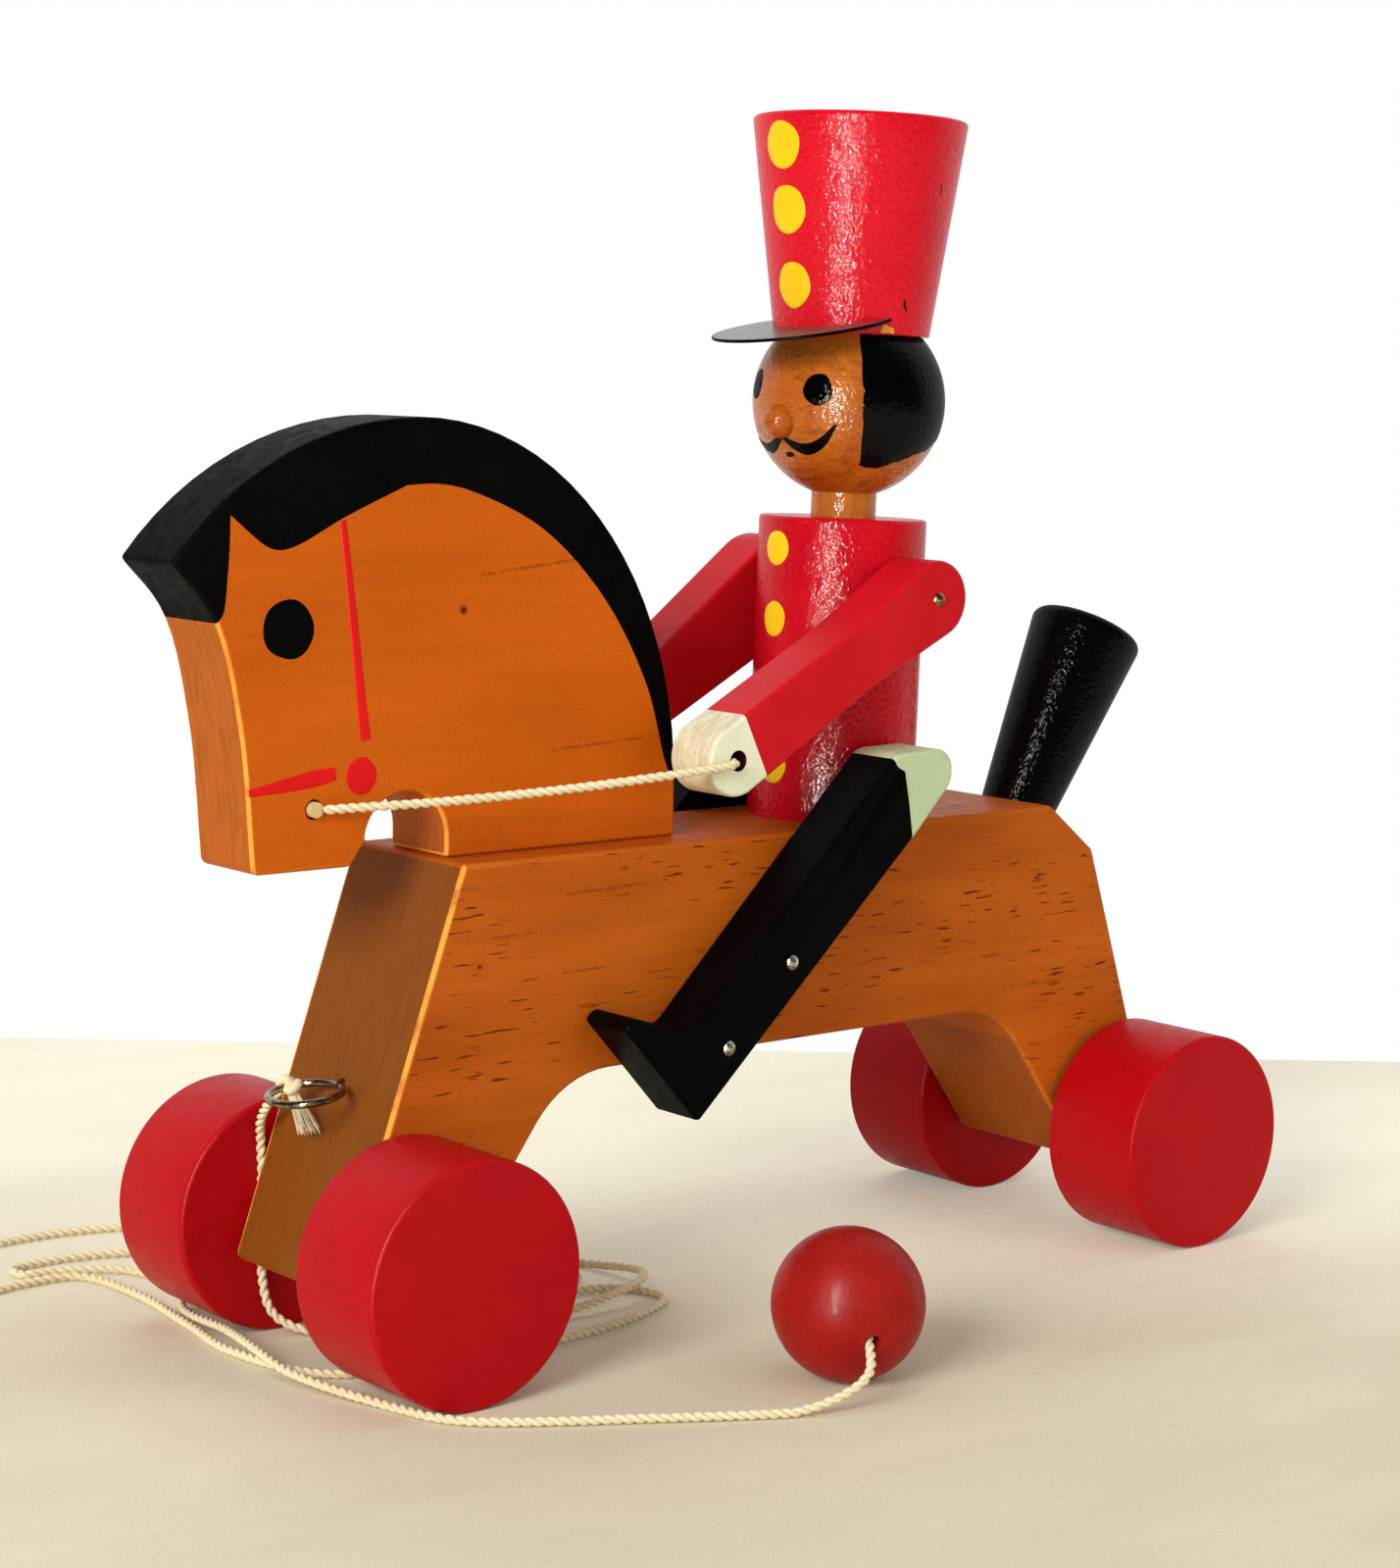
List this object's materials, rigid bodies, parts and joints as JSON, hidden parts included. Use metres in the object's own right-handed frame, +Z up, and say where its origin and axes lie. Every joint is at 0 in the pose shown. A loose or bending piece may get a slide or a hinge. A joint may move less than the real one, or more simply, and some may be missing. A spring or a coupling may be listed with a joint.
{
  "type": "pull toy",
  "caption": "Wooden pull toy: a board horse on wheels carries a jointed rider in a tall cap, with cord reins and a pull cord that ends in a wooden ball.",
  "frame": {"origin": "on the floor under the middle of the whole toy, wheels on z = 0, measured without the pull cord", "axes": "+X towards the horse's tail, so the horse faces -X; +Y to the horse's right side; +Z up"},
  "size_m": [0.2768, 0.1982, 0.247],
  "materials": {
    "varnished_wood": "satin clear varnish over orange-brown pine",
    "dowel_wood": "raw pale hardwood",
    "red_wheel_paint": "satin red paint on turned wood",
    "red_rider_paint": "glossy brushed red paint on wood",
    "black_paint": "satin black paint on wood",
    "visor_leather": "polished black",
    "nail_steel": "bright",
    "eye_steel": "polished, dulled by age",
    "cotton_cord": "two twisted cream cotton strands"
  },
  "bodies": {
    "root": {"horse_body": "varnished_wood", "horse_head": "varnished_wood", "head_dowels": "dowel_wood", "tail": "black_paint", "left_leg": "black_paint", "right_leg": "black_paint", "leg_nails": "nail_steel", "rider_torso": "red_rider_paint", "seat_dowel": "dowel_wood", "neck_dowel": "varnished_wood", "rider_head": "varnished_wood", "nose": "varnished_wood", "hat_dowel": "dowel_wood", "hat": "red_rider_paint", "hat_visor": "visor_leather", "arm_nails": "nail_steel", "rein_left": "cotton_cord", "rein_right": "cotton_cord", "rein_peg": "dowel_wood", "screw_eye": "eye_steel", "cord_knot": "cotton_cord", "pull_cord": "cotton_cord", "pull_ball": "red_wheel_paint"},
    "front_wheels": {"front_axle": "dowel_wood", "front_wheel_left": "red_wheel_paint", "front_wheel_right": "red_wheel_paint"},
    "rear_wheels": {"rear_axle": "dowel_wood", "rear_wheel_left": "red_wheel_paint", "rear_wheel_right": "red_wheel_paint"},
    "left_arm": {"left_arm": "red_rider_paint", "left_hand_knot": "cotton_cord"},
    "right_arm": {"right_arm": "red_rider_paint", "right_hand_knot": "cotton_cord"}
  },
  "joints": [
    {"name": "front_wheels_spin", "type": "hinge", "parent": "root", "child": "front_wheels", "pos_m": [-0.0895, 0, 0.024], "axis": [0, 1, 0], "continuous": true},
    {"name": "rear_wheels_spin", "type": "hinge", "parent": "root", "child": "rear_wheels", "pos_m": [0.1095, 0, 0.024], "axis": [0, 1, 0], "continuous": true},
    {"name": "left_arm_swing", "type": "hinge", "parent": "root", "child": "left_arm", "pos_m": [0.03705, 0, 0.14668], "axis": [0, 1, 0], "range_deg": [0, 29.5], "deforming": ["rein_left"]},
    {"name": "right_arm_swing", "type": "hinge", "parent": "root", "child": "right_arm", "pos_m": [0.03705, 0, 0.14668], "axis": [0, 1, 0], "range_deg": [0, 29.5], "deforming": ["rein_right"]}
  ]
}
